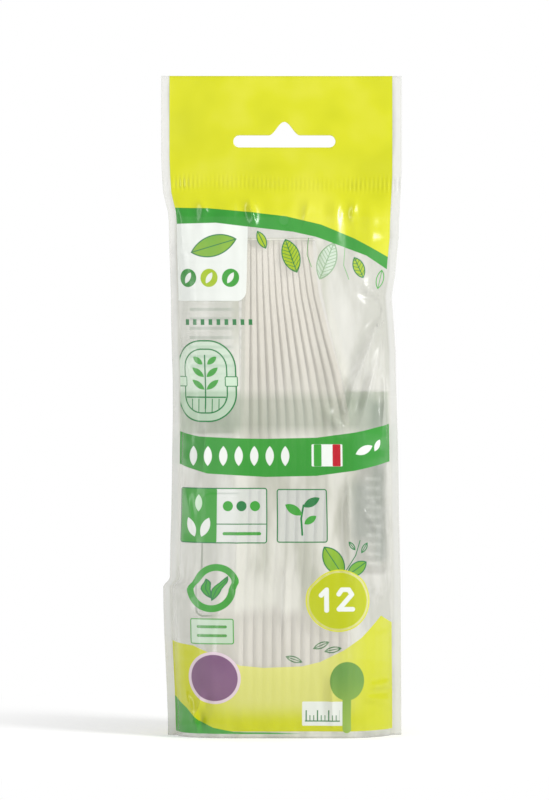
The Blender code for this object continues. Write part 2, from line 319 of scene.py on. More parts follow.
# Folds in the film: from and to as (x, z), then width and height
frontFolds = (
    ((0.0215, 0.1240), (0.0304, 0.1180), 0.0008, 0.00075),
    ((0.0306, 0.1165), (0.0245, 0.1110), 0.0009, 0.0012),
    ((0.0262, 0.1125), (0.0195, 0.0960), 0.0013, 0.0013),
    ((0.0200, 0.0970), (0.0178, 0.0870), 0.0014, 0.0009),
    ((0.0285, 0.1120), (0.0215, 0.0860), 0.0012, 0.0010),
    ((0.0300, 0.1120), (0.0272, 0.0800), 0.0010, 0.0008),
    ((0.0182, 0.0700), (0.0186, 0.0450), 0.0013, 0.0007),
    ((0.0258, 0.0720), (0.0262, 0.0420), 0.0012, 0.0005),
    ((-0.0245, 0.0030), (-0.0218, 0.0120), 0.0010, 0.0008),
    ((-0.0225, 0.0005), (-0.0262, 0.0130), 0.0008, 0.0006),
    ((0.0240, 0.0138), (0.0305, 0.0142), 0.0007, 0.0005),
    ((0.0225, 0.0110), (0.0300, 0.0100), 0.0008, 0.0004),
    ((0.0012, 0.0480), (0.0006, 0.0250), 0.0011, 0.0004),
    ((0.0250, 0.1000), (0.0225, 0.0880), 0.0009, 0.0006),
    ((0.0285, 0.0990), (0.0292, 0.0780), 0.0008, 0.0005),
    ((0.0110, 0.0900), (0.0180, 0.0830), 0.0012, 0.0005),
    ((0.0225, 0.0620), (0.0270, 0.0560), 0.0009, 0.0005),
    ((0.0235, 0.0420), (0.0290, 0.0380), 0.0009, 0.0005),
    ((0.0135, 0.0180), (0.0140, 0.0030), 0.0010, 0.0004),
    ((-0.0120, 0.0600), (-0.0128, 0.0330), 0.0012, 0.0004),
    ((-0.0265, 0.0700), (-0.0240, 0.0560), 0.0011, 0.0005),
    ((-0.0205, 0.0850), (-0.0215, 0.0700), 0.0012, 0.0004),
    ((-0.0290, 0.0420), (-0.0245, 0.0400), 0.0009, 0.0006),
    ((-0.0095, 0.1490), (-0.0070, 0.1400), 0.0009, 0.0005),
    ((-0.0235, 0.1480), (-0.0200, 0.1430), 0.0013, 0.0005),
    ((0.0080, 0.1485), (0.0060, 0.1400), 0.0012, 0.0004),
    ((0.0210, 0.1488), (0.0190, 0.1410), 0.0010, 0.0005),
    ((-0.0280, 0.1070), (-0.0240, 0.0960), 0.0012, 0.0006),
)
backFolds = (
    ((-0.0300, 0.1150), (-0.0200, 0.0950), 0.0013, 0.0009),
    ((-0.0290, 0.1080), (-0.0240, 0.0850), 0.0011, 0.0006),
    ((0.0285, 0.0900), (0.0200, 0.0740), 0.0012, 0.0007),
    ((0.0260, 0.0020), (0.0215, 0.0140), 0.0010, 0.0007),
    ((-0.0200, 0.0020), (-0.0240, 0.0130), 0.0009, 0.0006),
    ((0.0050, 0.1485), (0.0070, 0.1390), 0.0011, 0.0005),
    ((-0.0120, 0.1485), (-0.0110, 0.1400), 0.0010, 0.0005),
    ((0.0020, 0.0700), (0.0035, 0.0400), 0.0014, 0.0005),
)


def foldHeight(folds, x, z):
    total = 0.0
    for (ax, az), (bx, bz), width, height in folds:
        length = math.hypot(bx - ax, bz - az)
        along = ((x - ax) * (bx - ax) + (z - az) * (bz - az)) / length
        across = ((x - ax) * (bz - az) - (z - az) * (bx - ax)) / length
        if abs(across) > 6 * width or along < -4 * width or along > length + 4 * width:
            continue
        start = ease(-0.15 * length, 0.3 * length, along)
        end = ease(-0.15 * length, 0.35 * length, length - along)
        ridge = math.exp(-abs(across) / width)
        dip = 0.45 * math.exp(-(((across - 2.2 * width) / (1.4 * width)) ** 2))
        total += bag["foldGain"] * height * start * end * (ridge - dip)
    return total


slack = {
    "pucker": 0.0007,  # along the welds
    "gather": 0.0009,  # under the cross seal
    "broad": 0.0009,
    "long": 0.0005,
    "foot": 0.00035,
}


def slackWaves(x, z, side, halfWidth):
    # small waves where the film is loose: puckers along the welds and gathers under the seal
    seed = 3.1 if side < 0 else 11.7
    nearSide = ease(0.62, 0.97, abs(x) / halfWidth)
    pucker = noise.noise(Vector((x * 60, z * 330, seed))) * slack["pucker"] * nearSide
    nearSeal = ease(bag["sealBottom"] - 0.024, bag["sealBottom"] - 0.002, z)
    gather = noise.noise(Vector((x * 300, z * 55, seed + 5))) * slack["gather"] * nearSeal
    broad = noise.noise(Vector((x * 75, z * 45, seed + 9))) * slack["broad"]
    offMiddle = ease(0.2, 0.7, abs(x) / halfWidth)
    long = noise.noise(Vector((x * 190, z * 26, seed + 7))) * slack["long"] * offMiddle
    nearBase = 1 - ease(0.001, 0.014, z)
    foot = noise.noise(Vector((x * 260, z * 90, seed + 2))) * slack["foot"] * nearBase
    return pucker + gather + broad + long + foot


def bodyZ(row):
    return bag["sealBottom"] * row / bag["bodyRows"]


def rowPlaces(left, right):
    # x of each column, closer together near the welds
    places = []
    for j in range(bag["columns"] + 1):
        turn = math.pi * (0.12 + 0.76 * j / bag["columns"])
        places.append(left + (right - left) * (0.5 - 0.5 * math.cos(turn)))
    low = places[0]
    high = places[-1]
    return [left + (right - left) * (v - low) / (high - low) for v in places]


def makeSkin(side):
    # x, depth and gap to the spoons behind, row by row from the base to the cross seal
    folds = frontFolds if side < 0 else backFolds
    xs = []
    depth = []
    for i in range(bag["bodyRows"] + 1):
        z = bodyZ(i)
        left = edgeX(z, -1)
        right = edgeX(z, 1)
        rowX = rowPlaces(left, right)
        rowY = []
        for x in rowX:
            inner = min(max(x, left + 0.00005), right - 0.00005)
            y = faceDepth(inner, min(max(z, 0.0002), bag["sealBottom"]), side)
            rowY.append(abs(y) if y is not None else bag["skin"])
        xs.append(rowX)
        depth.append(rowY)
    depth = blurGrid(depth, bag["smoothing"])
    gaps = []
    for i in range(bag["bodyRows"] + 1):
        z = bodyZ(i)
        halfWidth = (xs[i][-1] - xs[i][0]) / 2
        gapRow = []
        for j, x in enumerate(xs[i]):
            loose = ease(0.0004, 0.0022, depth[i][j])
            still = ease(0.0, 0.003, bag["sealBottom"] - z) * ease(0.0, 0.002, z)
            rise = (foldHeight(folds, x, z) + slackWaves(x, z, side, halfWidth)) * loose * still
            y = depth[i][j] + rise
            gap = gapAt(x, y, z)
            if gap < bag["touching"]:
                start = Vector((x, side * bag["castFrom"], z))
                hit = spoonTree.ray_cast(start, Vector((0, -side, 0)))[0]
                if hit is not None:
                    y = max(y, abs(hit.y) + bag["clearance"])
            depth[i][j] = max(y, bag["skin"])
            gapRow.append(gap)
        gaps.append(gapRow)
    return xs, depth, gaps


# The hang slot, as it is punched through both layers
slotSizes = {
    "belowTop": 0.0196,
    "width": 0.028,
    "height": 0.0033,
    "peakWidth": 0.0086,
    "peakHeight": 0.0037,
    "shift": 0.0008,
}


def slotOutline():
    low = bagHigh.z - slotSizes["belowTop"]
    radius = slotSizes["height"] / 2
    reach = slotSizes["width"] / 2 - radius
    points = []
    for side in (1, -1):
        for k in range(13):
            a = side * math.pi / 2 - math.pi * k / 12
            points.append((side * reach + radius * math.cos(a), low + radius + radius * math.sin(a)))
    for k in range(25):
        t = 2 * k / 24 - 1
        rise = slotSizes["peakHeight"] * math.cos(math.pi / 2 * t) ** 2
        points.append((t * slotSizes["peakWidth"] / 2, low + slotSizes["height"] + rise))
    return [(x + slotSizes["shift"], z) for x, z in points]


def sheetShift(x, z):
    # how far the header leans from the plane of the bag, as on the CAD bag, with small dents
    turn = math.sin(math.pi * (x / bag["flatWidth"] + 0.2))
    wave = 0.0005 * ease(bag["sealTop"], bagHigh.z, z) * turn
    aboveSeal = ease(bag["sealTop"], bag["sealTop"] + 0.006, z)
    dent = 0.0004 * noise.noise(Vector((x * 70, z * 70, 4.4))) * aboveSeal
    return wave + dent


def crimp(x, z):
    middle = (bag["sealBottom"] + bag["sealTop"]) / 2
    droop = 0.0005 * math.sin(x * 90)
    reach = (bag["sealTop"] - bag["sealBottom"]) / 2 - 0.0004
    band = 1 - ease(reach * 0.7, reach, abs(z - middle + droop))
    uneven = 0.55 + 0.9 * noise.noise(Vector((x * 170, 0.0, 2.0)))
    return bag["crimpHeight"] * band * uneven * math.sin(2 * math.pi * x / bag["crimpPitch"])


def headerZ(row):
    return bag["sealBottom"] + (bagHigh.z - bag["sealBottom"]) * row / bag["headerRows"]


def flatRow(row):
    # the flat film's width at each point of a row of (x, y, z), between arc length and plain width
    lengths = [0.0]
    for a, b in zip(row, row[1:]):
        lengths.append(lengths[-1] + math.dist(a, b))
    left = row[0][0]
    width = row[-1][0] - left
    arc = bag["arcShare"]
    flats = []
    for length, point in zip(lengths, row):
        share = arc * length / lengths[-1] + (1 - arc) * (point[0] - left) / width
        flats.append(bag["flatWidth"] * (share - 0.5))
    return flats


def makeRows(side):
    # every row of one side, from the base to the top: points, flat widths and gaps
    xs, depth, gaps = makeSkin(side)
    points = []
    for i in range(bag["bodyRows"] + 1):
        points.append([(x, side * d, bodyZ(i)) for x, d in zip(xs[i], depth[i])])
    topXs = xs[-1]
    span = topXs[-1] - topXs[0]
    for k in range(1, bag["headerRows"] + 1):
        z = headerZ(k)
        left = edgeX(z, -1)
        right = edgeX(z, 1)
        row = [left + (right - left) * (x - topXs[0]) / span for x in topXs]
        points.append([(x, sheetShift(x, z) + crimp(x, z) + side * bag["skin"], z) for x in row])
        gaps.append([bag["farGap"]] * len(row))
    flats = blurGrid([flatRow(row) for row in points], bag["flatSmoothing"])
    return points, flats, gaps


def addSide(bm, rows, values, flatLayer, gapLayer, index, flip):
    points, flats, gaps = values
    for i in range(len(rows) - 1):
        for j in range(len(rows[0]) - 1):
            corners = ((i, j), (i, j + 1), (i + 1, j + 1), (i + 1, j))
            if flip:
                corners = corners[::-1]
            face = bm.faces.new([rows[a][b] for a, b in corners])
            face.material_index = index
            for loop, (a, b) in zip(face.loops, corners):
                loop[flatLayer].uv = (flats[a][b] * 10, points[a][b][2] * 10)
                loop[gapLayer].uv = (min(gaps[a][b], bag["farGap"]) * 10, 0.0)


def buildBag():
    bm = bmesh.new()
    flatLayer = bm.loops.layers.uv.new("flat")
    gapLayer = bm.loops.layers.uv.new("gap")
    sides = []
    for index, side in enumerate((-1, 1)):
        values = makeRows(side)
        rows = [[bm.verts.new(p) for p in row] for row in values[0]]
        addSide(bm, rows, values, flatLayer, gapLayer, index, side > 0)
        sides.append((rows, values))
    front, back = sides[0][0], sides[1][0]
    for lowA, lowB, highA, highB in zip(front, back, front[1:], back[1:]):
        bm.faces.new((lowA[0], highA[0], highB[0], lowB[0])).material_index = 2
        bm.faces.new((lowA[-1], lowB[-1], highB[-1], highA[-1])).material_index = 2
    for rowA, rowB in ((front[0], back[0]), (front[-1], back[-1])):
        for j in range(len(rowA) - 1):
            bm.faces.new((rowA[j], rowB[j], rowB[j + 1], rowA[j + 1])).material_index = 2
    bmesh.ops.recalc_face_normals(bm, faces=bm.faces)
    mesh = bpy.data.meshes.new("packetFilm")
    bm.to_mesh(mesh)
    bm.free()
    made = bpy.data.objects.new("packet_film", mesh)
    scene.collection.objects.link(made)
    return made, sides[0][1]


def punchSlot(film):
    outline = slotOutline()
    bm = bmesh.new()
    rows = [[bm.verts.new((x, y, z)) for x, z in outline] for y in (-0.004, 0.004)]
    for j in range(len(outline)):
        k = (j + 1) % len(outline)
        bm.faces.new((rows[0][j], rows[0][k], rows[1][k], rows[1][j]))
    bm.faces.new(rows[0])
    bm.faces.new(rows[1])
    bmesh.ops.recalc_face_normals(bm, faces=bm.faces)
    mesh = bpy.data.meshes.new("slotPunch")
    bm.to_mesh(mesh)
    bm.free()
    punch = bpy.data.objects.new("slotPunch", mesh)
    scene.collection.objects.link(punch)
    step = film.modifiers.new("hang slot", "BOOLEAN")
    step.operation = "DIFFERENCE"
    step.solver = "EXACT"
    step.object = punch
    graph = bpy.context.evaluated_depsgraph_get()
    cut = bpy.data.meshes.new_from_object(film.evaluated_get(graph))
    film.modifiers.clear()
    old = film.data
    film.data = cut
    bpy.data.meshes.remove(old)
    bpy.data.objects.remove(punch, do_unlink=True)


film, frontValues = buildBag()
print("film modelled:", len(film.data.polygons), "faces")


def flat(x, z):
    # where the flat film lies behind a place seen from the front, all in millimetres
    points, flats, _ = frontValues
    row = min(range(len(points)), key=lambda i: abs(points[i][0][2] * 1000 - z))
    line = list(zip([p[0] * 1000 for p in points[row]], [f * 1000 for f in flats[row]]))
    for (ax, af), (bx, bf) in zip(line, line[1:]):
        if x <= bx:
            return af + (bf - af) * (max(x, ax) - ax) / (bx - ax)
    return line[-1][1]


def spot(x, z):
    return flat(x, z), z


def area(left, right, low, high):  # the centre and size on the flat film of a box seen from the front
    z = (low + high) / 2
    a = flat(left, z)
    b = flat(right, z)
    return ((a + b) / 2, z), (b - a, high - low)


def seen(*points):
    return [spot(x, z) for x, z in points]


# Colours of the film and its print, as seen
inks = {
    "lime": srgb(214, 216, 32),
    "limePale": srgb(221, 221, 58),
    "limeDeep": srgb(206, 209, 24),
    "badge": srgb(188, 197, 14),
    "field": srgb(204, 208, 22),
    "fieldPale": srgb(229, 229, 128),
    "green": srgb(62, 160, 56),
    "greenDeep": srgb(44, 142, 48),
    "greenDark": srgb(38, 124, 66),
    "leaf": srgb(168, 196, 40),
    "paper": srgb(236, 240, 234),
    "mint": srgb(206, 232, 204),
    "purple": srgb(112, 72, 112),
    "purplePale": srgb(146, 108, 142),
    "rim": srgb(226, 206, 218),
    "red": srgb(188, 24, 40),
    "haze": srgb(198, 199, 185),
    "hazePale": srgb(231, 230, 220),
    "hazePaintedLight": srgb(238, 234, 226),  # painted light, where the spoons lie close behind
    "weld": srgb(228, 228, 222),
    "grey": srgb(84, 92, 98),
    # painted shade seen through the front film: a grey-green and a grey
    "paintedGreenShade": srgb(158, 170, 148),
    "shade": srgb(112, 126, 116),
    "spoonPale": srgb(150, 186, 74),
    "spoonDeep": srgb(104, 156, 66),
}

haze = {
    "contact": 0.44,  # cover of clear film near the handles
    "bowls": 0.56,  # and near the bowls, where it is cloudier
    "far": 0.82,  # well off them
    "empty": 0.47,  # and with none behind
    "near": 4.2,  # mm
    "reach": 6.6,  # mm
    "warm": 0.75,  # how much painted light lightens the film where the spoons lie close
    "creaseShadeLow": 0.36,  # noise level where the painted crease shade is darkest
    "creaseShadeHigh": 0.62,  # and where it is palest
    "weld": 0.46,
    "weldFrom": 31.2,  # mm from the middle
    # covers of the painted shade on the front film
    "paintedGreenShade": 0.62,
    "shade": 0.84,
    "back": 0.5,  # least cover on the back
}


class Film:  # layers of ink over clear film, and the coordinates they are drawn in
    def __init__(self, start):
        flatUv = start.node("ShaderNodeUVMap", {"uv_map": "flat"})
        self.p = flatUv.vector("MULTIPLY", (100.0, 100.0, 0.0))
        self.x = self.p.vector("DOT_PRODUCT", (1.0, 0.0, 0.0))
        self.z = self.p.vector("DOT_PRODUCT", (0.0, 1.0, 0.0))
        gapUv = start.node("ShaderNodeUVMap", {"uv_map": "gap"})
        self.gap = gapUv.vector("DOT_PRODUCT", (100.0, 0.0, 0.0))
        self.place = start.node("ShaderNodeTexCoord", output="Object")
        self.fine = self.cloud(900.0, 2.0)
        self.slow = self.cloud(60.0, 2.0)
        # painted shade: long streaks of darker haze stand in for the shading of the film's creases
        streaks = self.place.vector("MULTIPLY", (1.0, 1.0, 0.3))
        creaseShade = streaks.node("ShaderNodeTexNoise", {}, {"Vector": streaks, "Scale": 130.0, "Detail": 3.0})
        creaseShadeMask = creaseShade.smooth(haze["creaseShadeLow"], haze["creaseShadeHigh"], 0.0, 1.0)
        clear = creaseShadeMask.mix(inks["haze"], inks["hazePale"])
        # painted light: the film's colour is lightened where the spoons lie close behind
        paintedLight = self.gap.smooth(haze["near"], haze["reach"], haze["warm"], 0.0)
        contact = self.z.smooth(38.0, 75.0, haze["bowls"], haze["contact"])
        close = self.gap.smooth(haze["near"], haze["reach"], contact, haze["far"])
        thinned = haze["far"] - haze["empty"]
        cover = close - self.gap.smooth(haze["reach"], bag["farGap"] * 900, 0.0, thinned)
        edge = (self.x.size() - haze["weldFrom"]).smooth(-0.5, 0.5, 0.0, 1.0)
        self.colour = edge.mix(paintedLight.mix(clear, inks["hazePaintedLight"]), inks["weld"])
        self.cover = edge.mix(cover, haze["weld"])
        self.printed = roundBox(self.p, (-0.15, 80.0), (61.1, 320.0), 0.3)  # inside the clear margins

    def cloud(self, scale, detail):
        inputs = {"Vector": self.place, "Scale": scale, "Detail": detail}
        return self.place.node("ShaderNodeTexNoise", {}, inputs)

    def lay(self, shape, colour, cover=0.95, soft=0.14):
        mask = shape.most(self.printed).inside(soft)
        self.colour = mask.mix(self.colour, colour)
        self.cover = mask.mix(self.cover, cover)

    def leaf(self, centre, length, width, degrees, fill, rim=None, ribs=False, cover=0.92):
        q = turned(self.p, centre, degrees)
        shape = leafShape(q, length, width)
        if fill is not None:
            self.lay(shape, fill, cover)
        if rim is not None:
            self.lay(shape.line(0.16), rim, cover)
            middle = bar(q, (-length / 2, 0.0), (length / 2, 0.0), 0.13)
            self.lay(middle, rim, cover)
        if ribs:
            along = q.vector("DOT_PRODUCT", (1.0, 0.0, 0.0))
            across = q.vector("DOT_PRODUCT", (0.0, 1.0, 0.0)).size()
            veins = (along - across * 0.8).repeat(1.1) - 0.1
            self.lay(veins.most(shape), rim, cover)

    def finish(self, shader, roughness):
        bump = self.cloud(240.0, 3.0)
        normal = bump.node("ShaderNodeBump", {}, {"Strength": 0.1, "Distance": 0.0006, "Height": bump})
        rough = self.fine.mix(roughness - 0.05, roughness + 0.07)
        self.p.fill(shader, {"Base Color": self.colour, "Alpha": self.cover, "Normal": normal})
        self.p.fill(shader, {"Roughness": rough, "Specular IOR Level": 0.55})


# Curved edges on the print, as (x, z) in millimetres from the left margin to the right
arcTop = (
    (-30.7, 144.9), (-20.0, 144.7), (-9.0, 143.7), (1.2, 142.5), (10.9, 140.2), (20.0, 136.4), (30.4, 130.7),
)
arcLow = (
    (-30.7, 140.4), (-18.0, 140.7), (-9.0, 139.6), (3.2, 138.2), (9.5, 136.8), (23.2, 131.7), (30.4, 127.0),
)
bandTop = (
    (-30.7, 84.0), (-22.4, 82.3), (-12.0, 81.8), (-4.3, 81.7), (9.5, 82.0), (20.0, 83.4), (30.4, 85.8),
)
bandLow = (
    (-30.7, 75.3), (-28.5, 74.8), (-20.2, 72.2), (-4.3, 71.3), (9.5, 71.6), (20.0, 73.0), (30.4, 75.4),
)
fieldTop = (
    (-30.7, 26.2), (-24.0, 25.4), (-11.3, 20.1), (-4.9, 19.5), (5.6, 19.9), (10.5, 21.1),
    (17.0, 24.3), (21.8, 27.6), (27.2, 33.3), (30.4, 31.0),
)
waveTop = ((-30.7, 12.0), (-25.9, 8.2), (-22.7, 4.9), (-18.6, 2.9), (-13.0, 1.8), (-2.0, 1.6), (6.0, 1.2))


def drawShades(film):
    # painted shade on the clear front film, standing in for the back's print and the shade behind it seen
    # through the haze: above the green band and down the right
    film.lay(roundBox(film.p, (3.0, 88.8), (46.0, 7.2), 3.0), inks["paintedGreenShade"], haze["paintedGreenShade"], 6.0)
    film.lay(roundBox(film.p, (26.2, 70.0), (2.6, 42.0), 1.2), inks["shade"], haze["shade"], 6.0)
    film.lay(roundBox(film.p, (21.0, 62.0), (3.0, 14.0), 1.4), inks["shade"], haze["shade"], 7.0)


def drawTop(film):
    arc = bend(film.x, seen(*arcTop))
    below = bend(film.x, seen(*arcLow))
    limes = ((0.34, "limeDeep"), (0.5, "lime"), (0.66, "limePale"))
    stops = [(place, inks[name] + (1.0,)) for place, name in limes]
    lime = film.slow.node("ShaderNodeValToRGB", {"stops": stops}, {"Fac": film.slow})
    green = film.slow.mix(inks["greenDeep"], inks["green"])
    centre, size = area(-30.1, -9.4, 119.3, 143.0)
    label = roundBox(film.p, centre, size, 2.6)
    film.lay(label, inks["paper"], 0.93)
    mixed = film.slow.mix(inks["green"], inks["leaf"])
    film.leaf(spot(-18.6, 134.4), 13.2, 5.6, 16, mixed, inks["greenDark"])
    for place, name in ((-25.6, "greenDeep"), (-19.8, "leaf"), (-13.9, "green")):
        film.lay(disc(film.p, spot(place, 125.6), 2.5), inks[name])
        film.leaf(spot(place, 125.6), 3.4, 1.5, 60, inks["paper"])
    # leaves that hang under the arc
    film.leaf(spot(-5.4, 136.0), 5.2, 2.3, -62, inks["leaf"], inks["greenDark"])
    film.leaf(spot(2.6, 131.6), 9.6, 4.8, 112, inks["leaf"], inks["greenDark"], True)
    film.leaf(spot(12.4, 130.2), 10.4, 5.2, 70, inks["mint"], inks["green"], True, 0.5)
    film.leaf(spot(21.2, 128.4), 6.2, 3.0, 118, inks["leaf"], inks["greenDark"], True)
    film.leaf(spot(27.0, 125.2), 5.0, 2.2, 84, None, inks["green"])
    stalks = (
        ((7.4, 136.5), (7.0, 132.0), (8.2, 128.6)),
        ((17.4, 134.0), (17.0, 129.0), (18.4, 125.2)),
    )
    for points in stalks:
        film.lay(stroke(film.p, seen(*points), 0.1), inks["green"], 0.8)
    film.lay(film.z * -1.0 + below, green, 0.96)
    film.lay(film.z * -1.0 + arc, lime, 0.97)
    drops = film.x.repeat(2.3) - 0.55
    film.lay(drops.most(roundBox(film.p, (-18.4, 113.5), (20.7, 1.6), 0.5)), inks["greenDark"], 0.9)


def drawEmblem(film):
    centre, size = area(-28.2, -12.4, 86.4, 108.4)
    outer = roundBox(film.p, centre, size, 7.6)
    film.lay(outer, inks["mint"], 0.6)
    film.lay(outer.line(0.22), inks["greenDark"], 0.92)
    inner = roundBox(film.p, centre, (size[0] - 5.0, size[1] - 4.6), 5.2)
    film.lay(inner.line(0.2), inks["greenDark"], 0.92)
    cx = centre[0]
    film.lay(bar(film.p, (cx, 90.0), (cx, 104.4), 0.2).most(inner), inks["greenDark"], 0.92)
    for height, length in ((103.0, 3.4), (99.8, 4.2), (96.4, 4.4)):
        for side, turn in ((1, 38), (-1, 142)):
            place = (cx + side * 2.0, height)
            film.leaf(place, length, 1.6, turn, inks["green"])
    ground = bar(film.p, (cx - 5.6, 93.0), (cx + 5.6, 93.0), 0.2)
    rays = (film.x - cx).size().repeat(1.9) - 0.14
    low = (film.z - 92.6).most(inner)
    film.lay(ground.most(inner).least(rays.most(low)), inks["greenDark"], 0.92)
    for side in (-1, 1):
        tab = roundBox(film.p, (cx + side * (size[0] / 2 - 1.3), 97.3), (3.4, 2.6), 0.3)
        film.lay(tab, inks["mint"], 0.85)
        film.lay(tab.line(0.14), inks["greenDark"], 0.92)


def drawBand(film):
    top = bend(film.x, seen(*bandTop))
    low = bend(film.x, seen(*bandLow))
    green = film.slow.mix(inks["greenDeep"], inks["green"])
    film.lay((film.z - top).most(low - film.z), green, 0.95)
    # a row of pale leaves, and a three-colour swatch
    row = film.x.repeat(4.3)
    q = film.p.node("ShaderNodeCombineXYZ", {}, {"X": row, "Y": film.z - 77.0})
    tall = leafShape(turned(q, (0.0, 0.0), 90), 5.4, 2.3)
    film.lay(tall.most(roundBox(film.p, (-12.9, 77.0), (30.1, 8.0), 0.1)), inks["paper"], 0.93)
    film.leaf(spot(22.6, 78.6), 5.4, 2.2, 24, inks["paper"])
    film.leaf(spot(26.2, 79.8), 3.6, 1.6, 60, inks["paper"])
    for left, right, name in ((8.2, 16.6, "paper"), (8.8, 10.9, "green"), (13.9, 16.1, "red")):
        centre, size = area(left, right, 74.2, 80.2)
        film.lay(roundBox(film.p, centre, size, 0.3), inks[name], 0.97)


def drawPanels(film):
    centre, size = area(-27.4, -4.0, 53.4, 68.2)
    whole = roundBox(film.p, centre, size, 0.6)
    film.lay(whole, inks["paper"], 0.62)
    cellCentre, cellSize = area(-27.4, -17.6, 53.4, 68.2)
    cell = roundBox(film.p, cellCentre, cellSize, 0.5)
    film.lay(cell, inks["green"], 0.94)
    for place, turn in ((-24.6, 112), (-20.8, 68)):
        film.leaf(spot(place, 57.6), 5.6, 2.4, turn, inks["paper"])
    film.leaf(spot(-22.6, 64.2), 4.6, 2.0, 90, inks["mint"])
    ruleLeft = flat(-17.6, 58.5)
    ruleRight = flat(-4.0, 58.5)
    lines = whole.line(0.17).least(bar(film.p, (ruleLeft, 58.5), (ruleRight, 58.5), 0.15))
    film.lay(lines, inks["greenDark"], 0.93)
    for k in range(3):
        film.lay(disc(film.p, spot(-14.6 + 3.7 * k, 63.4), 1.4), inks["greenDark" if k == 1 else "green"])
    film.lay(bar(film.p, spot(-15.6, 55.9), spot(-6.0, 55.9), 0.45), inks["green"], 0.85)
    centre, size = area(-1.1, 12.4, 53.6, 67.9)
    right = roundBox(film.p, centre, size, 0.6)
    film.lay(right, inks["paper"], 0.55)
    film.lay(right.line(0.17), inks["greenDark"], 0.93)
    middle = centre[0]
    stem = ((middle, 55.6), (middle - 0.3, 60.0), (middle + 0.4, 63.6))
    film.lay(stroke(film.p, stem, 0.28), inks["greenDark"])
    film.leaf((middle - 2.3, 62.4), 5.4, 2.5, 148, inks["green"])
    film.leaf((middle + 2.6, 64.4), 5.2, 2.3, 28, inks["greenDark"])
    film.leaf((middle + 2.2, 59.6), 4.0, 1.9, 34, inks["green"])


def drawRing(film):
    centre = spot(-19.2, 41.1)
    film.lay(disc(film.p, centre, 5.6).line(0.95), inks["green"], 0.93)
    for shift, length, turn in ((-1.5, 5.6, 118), (1.6, 7.0, 66)):
        film.leaf((centre[0] + shift, 41.0), length, 2.2, turn, inks["green"], inks["greenDark"])
    boxCentre, size = area(-24.7, -13.1, 26.0, 32.7)
    box = roundBox(film.p, boxCentre, size, 0.5)
    film.lay(box, inks["mint"], 0.7)
    film.lay(box.line(0.15), inks["green"], 0.9)
    for height in (30.6, 28.2):
        rule = bar(film.p, (boxCentre[0] - 3.6, height), (boxCentre[0] + 3.6, height), 0.4)
        film.lay(rule, inks["green"], 0.75)


def drawBadge(film):
    centre = spot(15.4, 37.7)
    mixed = film.slow.mix(inks["green"], inks["leaf"])
    film.leaf(spot(14.2, 48.4), 9.2, 4.9, 124, mixed, inks["greenDark"])
    film.leaf(spot(20.6, 46.4), 6.2, 3.3, 34, mixed, inks["greenDark"])
    film.lay(stroke(film.p, seen((17.4, 45.6), (20.2, 50.0), (21.4, 54.0)), 0.14), inks["greenDark"], 0.85)
    film.leaf(spot(22.6, 52.0), 3.0, 1.1, 58, None, inks["greenDark"])
    film.leaf(spot(19.2, 52.6), 2.6, 1.0, 128, None, inks["greenDark"])
    film.lay(disc(film.p, centre, 8.3), inks["fieldPale"], 0.7)
    film.lay(disc(film.p, centre, 8.3).line(0.16), inks["lime"], 0.93)
    film.lay(disc(film.p, centre, 7.6), inks["badge"], 0.96)
    one = ((-4.4, 1.2), (-3.0, 2.7), (-3.0, -2.9))
    two = ((0.2, 1.5), (1.0, 2.7), (2.8, 2.7), (3.6, 1.4), (0.2, -2.6), (3.8, -2.6))
    for points in (one, two):
        shifted = [(centre[0] + x, centre[1] + 0.3 + z) for x, z in points]
        film.lay(stroke(film.p, shifted, 0.62), inks["paper"], 0.95)


def drawBottom(film):
    top = bend(film.x, seen(*fieldTop))
    pale = (film.x + 0.5).size().smooth(9.0, 25.0, 1.0, 0.0) * film.z.smooth(4.0, 11.0, 0.0, 1.0)
    shade = pale.mix(inks["field"], inks["fieldPale"])
    film.lay((film.z - top).most(1.9 - film.z), shade, pale.mix(0.96, 0.84))
    film.lay((film.z - bend(film.x, seen(*waveTop))).most(1.2 - film.z), inks["green"], 0.92)
    centre, size = area(-25.3, -11.1, 9.5, 23.8)
    film.lay(oval(film.p, centre, size), inks["rim"], 0.95)
    purple = film.slow.mix(inks["purple"], inks["purplePale"])
    film.lay(oval(film.p, centre, (size[0] - 1.6, size[1] - 1.6)), purple)
    spoonInk = film.z.smooth(3.0, 20.0, 0.0, 1.0).mix(inks["spoonPale"], inks["spoonDeep"])
    head = oval(film.p, spot(17.9, 15.8), (9.2, 10.6))
    stem = bar(film.p, spot(17.8, 11.5), spot(17.8, 2.6), 1.15)
    boxCentre, size = area(5.6, 16.7, 3.5, 10.2)
    box = roundBox(film.p, boxCentre, size, 0.3)
    film.lay(box, inks["paper"], 0.93)
    ticks = film.x.repeat(1.0) - 0.12
    long = film.x.repeat(3.0) - 0.16
    rulerLeft = boxCentre[0] - size[0] / 2 + 0.9
    short = ticks.most(roundBox(film.p, (boxCentre[0], 5.6), (size[0] - 1.8, 1.6), 0.1))
    tall = long.most(roundBox(film.p, (boxCentre[0], 6.3), (size[0] - 1.8, 3.0), 0.1))
    edge = bar(film.p, (rulerLeft, 4.8), (rulerLeft + size[0] - 1.8, 4.8), 0.16)
    film.lay(short.least(tall).least(edge), inks["greenDark"], 0.9)
    film.lay(head.least(stem), spoonInk, 0.88)
    for x, z, turn in ((10.8, 25.6, 24), (14.0, 24.4, 12), (3.4, 21.8, 160)):
        film.leaf(spot(x, z), 4.2, 1.4, turn, None, inks["greenDark"], cover=0.7)


def frontMaterial():
    made, start, shader = startMaterial("printed film front")
    front = Film(start)
    for draw in (drawShades, drawTop, drawEmblem, drawBand, drawPanels, drawRing, drawBadge, drawBottom):
        draw(front)
    front.finish(shader, 0.22)
    return made


